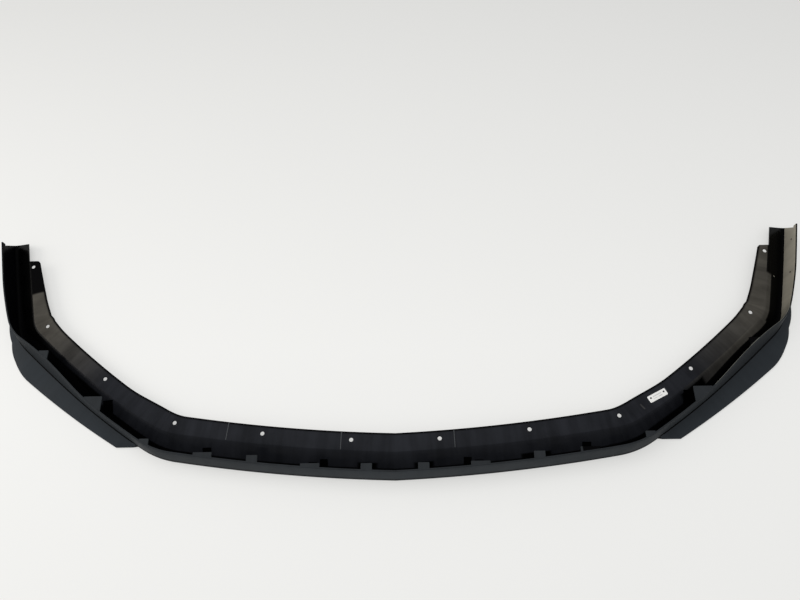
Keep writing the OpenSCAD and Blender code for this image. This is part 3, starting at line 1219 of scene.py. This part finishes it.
    def zones(self, points: np.ndarray, normals: np.ndarray) -> np.ndarray:
        """Zone of each face, from its middle and its normal.

        Args:
            points: middles, in millimetres.
            normals: unit normals.

        Returns:
            The zones' numbers.
        """
        sec = self.section
        s, d, square = sec.line.locate(points)
        a, z, up = np.abs(s), points[:, 2], normals[:, 2]
        across = np.abs((normals[:, :2] * square).sum(axis=1))
        wall_middle = sec.wall_at(a, z) - sec.wall / 2
        groove, blade = sec.foot_r + sec.groove_rise, sec.blade(a)
        outside = (d > wall_middle) | (up < -0.35)
        zone = np.full(len(points), Zone.RAMP.value)
        zone[(z > sec.foot_r - 1.0) & (d > wall_middle - 4)] = Zone.INNER_WALL.value
        rearward, bladed = d < -sec.ramp(a) + 0.6, outside & (blade > 4)
        zone[(z > sec.flange_z - 0.6) & rearward] = Zone.FLANGE.value
        zone[within(z, sec.flange_z + 0.1, sec.flange_z + 2) & rearward] = Zone.RIB.value
        zone[outside] = Zone.SKIN.value
        zone[bladed & (z < groove - 0.8) & (up > 0.2)] = Zone.BLADE.value
        zone[bladed & within(z, groove - 1.6, groove + 1.4)] = Zone.GROOVE.value
        zone[z > sec.wall_h - self.lug_step - self.lug_t - 0.1] = Zone.CREST.value
        # Pockets and the side holes' bores get the POCKET finish, which is painted near-black shade.
        sunk = points[:, 2] < self.ramp_height(points) - 0.15
        for x0, x1, y0, y1 in self.pockets:
            inside = within(np.abs(points[:, 0]), x0 - 0.1, x1 + 0.1)
            inside &= within(points[:, 1], y0 - 0.1, y1 + 0.1)
            zone[inside & sunk & ~outside & (z > 0.5)] = Zone.POCKET.value
        for at in self.side_hole_stations:
            reach = np.hypot(a - at, z - self.side_hole_z)
            zone[(reach < self.side_hole_d / 2 + 0.1) & (across < 0.5)] = Zone.POCKET.value
        # The drain's bore gets the RIB finish, whose tone at that station is painted light, as of a lit
        # floor seen through it.
        reach = np.hypot(s - self.drain[0], d - self.drain[1])
        zone[(reach < self.drain_d / 2 + 0.1) & (np.abs(up) < 0.4)] = Zone.RIB.value
        return zone


@dataclass
class Label:
    """The blank sticker on the flange."""

    moulding: Moulding
    station: float = 561.0
    inset: float = 62.5
    turn: float = -8.0
    thick: float = 0.3
    corner: float = 1.6
    wave: float = 0.06

    def build(self) -> bpy.types.Object:
        """A thin sheet on a grid over its rounded outline.

        The sheet's top lies at thick + wave sin(7u) sin(5v) above the flange, and its rim goes
        straight down. u and v are the shares of its length and width.

        Returns:
            The object, with the UV map named sheet.
        """
        n, m = 49, 19
        u, v = np.meshgrid(np.linspace(0, 1, n), np.linspace(0, 1, m), indexing="ij")
        x, y = (u - 0.5) * LABEL_SIZE[0], (v - 0.5) * LABEL_SIZE[1]
        hx, hy, r = LABEL_SIZE[0] / 2, LABEL_SIZE[1] / 2, self.corner
        over = np.stack([np.maximum(np.abs(x) - hx + r, 0), np.maximum(np.abs(y) - hy + r, 0)])
        square, circle = over.max(axis=0), np.hypot(*over)
        share = np.where(circle > 1e-9, square / np.maximum(circle, 1e-9), 1.0)
        x = np.sign(x) * (np.abs(x) - over[0] * (1 - share))
        y = np.sign(y) * (np.abs(y) - over[1] * (1 - share))
        top = self.thick - self.wave + self.wave * np.sin(7 * u) * np.sin(5 * v)
        points = np.concatenate([np.stack([x, y, top], -1).reshape(-1, 3),
                                 np.stack([x, y, 0 * top + 0.02], -1).reshape(-1, 3)])
        i, j = np.meshgrid(np.arange(n - 1), np.arange(m - 1), indexing="ij")
        a = (i * m + j).ravel()
        quads = np.column_stack([a, a + m, a + m + 1, a + 1])
        rim = np.concatenate([np.arange(n) * m, (n - 1) * m + np.arange(1, m),
                              (np.arange(n - 2, -1, -1)) * m + m - 1, np.arange(m - 2, 0, -1)])
        nxt = np.roll(rim, -1)
        sides = np.column_stack([nxt, rim, rim + n * m, nxt + n * m])
        faces = quads.tolist() + (quads[:, ::-1] + n * m).tolist() + sides.tolist()
        sec = self.moulding.section
        stand = sec.line.stand(self.station, -self.inset, sec.flange_z)
        shell = Shell(points, faces).outward().moved(stand @ turned(math.radians(self.turn)))
        mesh = shell.mesh("label_sheet")
        uv = np.tile(np.stack([u, v], -1).reshape(-1, 2), (2, 1))
        loops = np.zeros(len(mesh.loops), np.int32)
        mesh.loops.foreach_get("vertex_index", loops)
        mesh.uv_layers.new(name="sheet").uv.foreach_set("vector", uv[loops].ravel())
        soften(mesh, 40)
        return linked("label_sheet", mesh)


# Studio


@dataclass(frozen=True)
class Lamp:
    """A soft rectangular lamp that looks at a point."""

    name: str
    place: tuple[float, float, float]
    target: tuple[float, float, float]
    size: tuple[float, float]
    power: float
    colour: tuple[float, float, float] = (1.0, 1.0, 1.0)

    def build(self) -> bpy.types.Object:
        """The lamp, turned with its -Z axis to the target.

        Returns:
            The lamp.
        """
        data = bpy.data.lights.new(self.name, "AREA")
        data.shape, data.size, data.size_y = "RECTANGLE", self.size[0], self.size[1]
        data.energy, data.color = self.power, self.colour
        made = linked(self.name, data)
        back = np.array(self.place) - np.array(self.target)
        back = back / np.linalg.norm(back)
        side = np.cross([0.0, 1.0, 0.0], back)
        side = side / np.linalg.norm(side)
        turn = np.column_stack([side, np.cross(back, side), back])
        made.matrix_world = Matrix.Translation(self.place) @ Matrix(turn.tolist()).to_4x4()
        return made


@dataclass(frozen=True)
class Studio:
    """Camera, floor, world and lamps."""

    camera_place: tuple[float, float, float] = (0.04766, -0.51363, 1.343)
    tilt: float = 25.0
    yaw: float = 3.378
    roll: float = -4.255
    lens: float = 31.5
    floor_colour: tuple[float, float, float] = (0.84, 0.84, 0.825)
    floor_size: float = 40.0
    floor_gap: float = 0.0004
    floor_glow: float = 0.6
    painted_floor_falloff: float = 0.17
    sky: tuple[float, float, float] = (0.83, 0.83, 0.815)
    ambient: float = 0.72
    lamps: tuple = (
        Lamp("overhead_softbox", (-0.4, 0.9, 2.6), (0.0, 0.0, 0.0), (2.4, 1.6), 26.0),
        Lamp("left_softbox", (-2.2, 0.2, 1.1), (0.8, 0.1, 0.02), (1.2, 1.0), 16.0, (1.0, 0.96, 0.9)),
    )

    def camera(self) -> bpy.types.Object:
        """The camera at the photograph's viewing angle.

        With tilt t from straight down, the view is (0, sin t, -cos t), turned about Z by the yaw
        and about itself by the roll.

        Returns:
            The camera.
        """
        t, w, r = (math.radians(v) for v in (self.tilt, self.yaw, self.roll))
        turn = np.array([[math.cos(w), -math.sin(w), 0], [math.sin(w), math.cos(w), 0], [0, 0, 1]])
        view = turn @ [0.0, math.sin(t), -math.cos(t)]
        up = turn @ [0.0, math.cos(t), math.sin(t)]
        right = turn @ [1.0, 0.0, 0.0]
        across = math.cos(r) * right + math.sin(r) * up
        upward = -math.sin(r) * right + math.cos(r) * up
        data = bpy.data.cameras.new("camera")
        data.sensor_fit, data.sensor_width, data.lens = "HORIZONTAL", 36.0, self.lens
        made = linked("camera", data)
        axes = Matrix(np.column_stack([across, upward, -view]).tolist()).to_4x4()
        made.matrix_world = Matrix.Translation(self.camera_place) @ axes
        bpy.context.scene.camera = made
        return made

    def floor(self) -> bpy.types.Object:
        """A pale floor just under the keel, darker behind the lip by a painted falloff of light.

        Returns:
            The floor.
        """
        h = self.floor_size / 2 / MM
        z = -self.floor_gap / MM
        corners = np.array([[-h, -h, z], [h, -h, z], [h, h, z], [-h, h, z]])
        piece = linked("floor", Shell(corners, [[0, 1, 2, 3]]).mesh("floor"))
        made, g = new_material("floor_paint")
        at = g.position()
        light_falloff = self._painted_falloff(g, at)
        colour = g.shade(g.noise(at, 0.8, 2.0), 0.985, self.floor_colour)
        paint = g.surface(g.scaled(colour, light_falloff), 0.9, 0.1)
        glow = g.node("ShaderNodeEmission", {}, {"Color": g.scaled(self.sky, light_falloff), "Strength": 1.0})
        g.output(g.between(g.looked_at() * self.floor_glow, paint, glow))
        piece.data.materials.append(made)
        return piece

    def _painted_falloff(self, g: Graph, at: Wire) -> Wire:
        """Painted falloff of light on the floor: its colour and glow darken behind the lip in a
        straight line.
        """
        return 1.01 - g.axis(at, "Y").most(0.0).least(1.0) * self.painted_floor_falloff

    def world(self) -> None:
        """An even white sky: at full strength to the camera and in reflections, softer as light."""
        made = bpy.data.worlds.new("studio_sky")
        bpy.context.scene.world = made
        made.use_nodes = True
        g = Graph(made.node_tree)
        light = g.node("ShaderNodeBackground", {}, {"Color": (1, 1, 1, 1), "Strength": self.ambient})
        shown = g.node("ShaderNodeBackground", {}, {"Color": (*self.sky, 1.0), "Strength": 1.0})
        g.output(g.between(g.looked_at(), light, shown), "World")

    def build(self) -> None:
        """Sets up the view and everything round the object."""
        bpy.context.scene.view_settings.view_transform = "Standard"
        self.camera()
        self.floor()
        self.world()
        for lamp in self.lamps:
            lamp.build()


# Assembly

# Painted shade: the near-black of the patches behind and beside the lugs.
PAINTED_SHADE = (3, 3, 3)
# Painted reflection: a beige sheen on the flange and ramp at the sides.
PAINTED_SIDE_SHEEN = (64, 62, 58)

# Painted light and shade: the outer skin is lightest at the front and dark towards both ends.
SKIN_RUN = Run(((-1100, 14, 14, 15), (-900, 40, 42, 44), (0, 52, 55, 58), (900, 40, 42, 44),
                (1000, 14, 14, 15)))
BLADE_RUN = Run(((0, 46, 49, 52),))
# Painted shade: the wall's top goes dark towards both ends.
CREST_RUN = Run(((-1100, 10, 10, 10), (-900, 44, 46, 48), (850, 44, 46, 48), (950, 4, 4, 4)))
# Painted reflection: the flange takes the beige sheen at both sides.
FLANGE_RUN = Run(((-850, *PAINTED_SIDE_SHEEN), (-650, 36, 37, 40), (650, 36, 37, 40), (850, *PAINTED_SIDE_SHEEN)))
# Painted light and shade: the ramp is dark on the left, takes the beige sheen on the right and goes
# black at the right end.
RAMP_RUN = Run(((-850, 6, 6, 8), (-600, 28, 29, 32), (600, 28, 29, 32), (780, *PAINTED_SIDE_SHEEN),
                (860, *PAINTED_SIDE_SHEEN), (880, 2, 2, 2)))
# Painted shade and reflection: the inner wall is near-black, a little lighter at the left end, with a
# light beige reflection at the right end.
WALL_RUN = Run(((-860, 10, 10, 12), (-840, 2, 2, 2), (860, 2, 2, 2), (920, 120, 116, 106)))
# Painted shade patches on the ramp: behind and beside the lugs, in the left corner and at the right end
# of the trough.
PAINTED_SHADE_PATCHES = tuple(Patch(s, d, PAINTED_SHADE, soft) for s, d, soft in (
    ((862, 1110), (-31, 5), 4.0), ((985, 1110), (-60, -31), 4.0), ((412, 600), (-23, 5), 5.0),
    ((600, 662), (-38, 5), 5.0), ((764, 872), (-28, 5), 3.0), ((-890, -634), (-34, 5), 5.0),
    ((36, 74), (-31, 5), 4.0), ((-74, -36), (-31, 5), 4.0), ((242, 298), (-29, 5), 4.0)))

FINISHES = {
    # Painted shade low on the outer skin: unlit black at the foot, full tone from 19 mm up.
    Zone.SKIN: PlasticFinish("skin_grained", SKIN_RUN, 0.05, (0.5, 0.6), 0.3, 1700.0, 0.2,
                             rims=(("Z", 3.0, 19.0),)),
    Zone.FLANGE: PlasticFinish(
        "flange_satin", FLANGE_RUN, 0.02, (0.25, 0.4), 0.08, 700.0, 0.7, 0.0018,
        patches=(Patch((519.5, 522), (-68, -57), (60, 60, 60)),),
        # Painted shade: unlit black over the left end of the flange and along its rear edge.
        shades=(Patch((-1130, -966), (-90, -20), soft=3.0),),
        rims=(("X", 1.5, 6.0),)),
    Zone.RAMP: PlasticFinish(
        "ramp_gloss", RAMP_RUN, 0.04, (0.2, 0.35), 0.06, 600.0, 0.6, 0.0,
        patches=(Patch((862, 985), (-60, -31), PAINTED_SIDE_SHEEN, 4.0), *PAINTED_SHADE_PATCHES),
        # Painted shade: the ramp is unlit black in the trough next to the wall.
        rims=(("Y", -12.5, -14.5),)),
    # Painted shade: near-black in the pockets and the side holes.
    Zone.POCKET: PlasticFinish("pocket_painted_shade", Run(((0, 2, 2, 2),)), 0.01, (0.5, 0.6), 0.1, 900.0,
                               0.2),
    Zone.INNER_WALL: PlasticFinish("inner_wall", WALL_RUN, 0.03, (0.3, 0.45), 0.08, 700.0, 0.3, 0.0),
    Zone.BLADE: PlasticFinish("blade_grained", BLADE_RUN, 0.05, (0.5, 0.6), 0.3, 1700.0, 0.2),
    # Painted shade: a dark line in the groove.
    Zone.GROOVE: PlasticFinish("groove_painted_shade", Run(((0, 12, 13, 15),)), 0.02, (0.5, 0.6), 0.1, 900.0,
                               0.2),
    Zone.CREST: PlasticFinish(
        "crest_satin", CREST_RUN, 0.05, (0.4, 0.5), 0.2, 1200.0, 0.3,
        from_top=True,
        # Painted highlight along the inner edge of the wall's top on the right, and painted shade over
        # the lugs at 351 to 390 and 764 to 800 mm.
        patches=(Patch((655, 905), (-3.6, -2.2), (90, 90, 85)),),
        shades=(Patch((351, 390), (-40, -3.2)), Patch((764, 800), (-40, -3.4)))),
    # Painted highlight on the ribs, and painted light in the drain's bore beyond 900 mm.
    Zone.RIB: PlasticFinish("rib_and_drain_painted_light", Run(((900, 66, 68, 70), (960, 140, 136, 128))), 0.05,
                            (0.4, 0.5), 0.1, 900.0, 0.2),
}


def settle(piece: bpy.types.Object, node: str) -> None:
    """Lets a piece stand for its CAD node, which is hidden, and ride on the root body.

    Args:
        piece: the piece.
        node: the CAD node's name.
    """
    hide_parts(node)
    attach(piece, "root")


def report(piece: bpy.types.Object) -> None:
    """Logs a piece's name and its count of triangles.

    Args:
        piece: the piece.
    """
    mesh = piece.data
    mesh.calc_loop_triangles()
    LOG.info("%s: %d triangles", piece.name, len(mesh.loop_triangles))


def main() -> None:
    """Builds the studio and the pieces in order."""
    logging.basicConfig(level=logging.INFO, format="%(name)s: %(message)s")
    Studio().build()
    moulding = Moulding()
    lip = moulding.build()
    for zone in Zone:
        lip.data.materials.append(FINISHES[zone].material())
    settle(lip, "lip")
    report(lip)
    label = Label(moulding).build()
    label.data.materials.append(PaperFinish().material())
    settle(label, "paper_label")
    report(label)


if __name__ == "__main__":
    main()
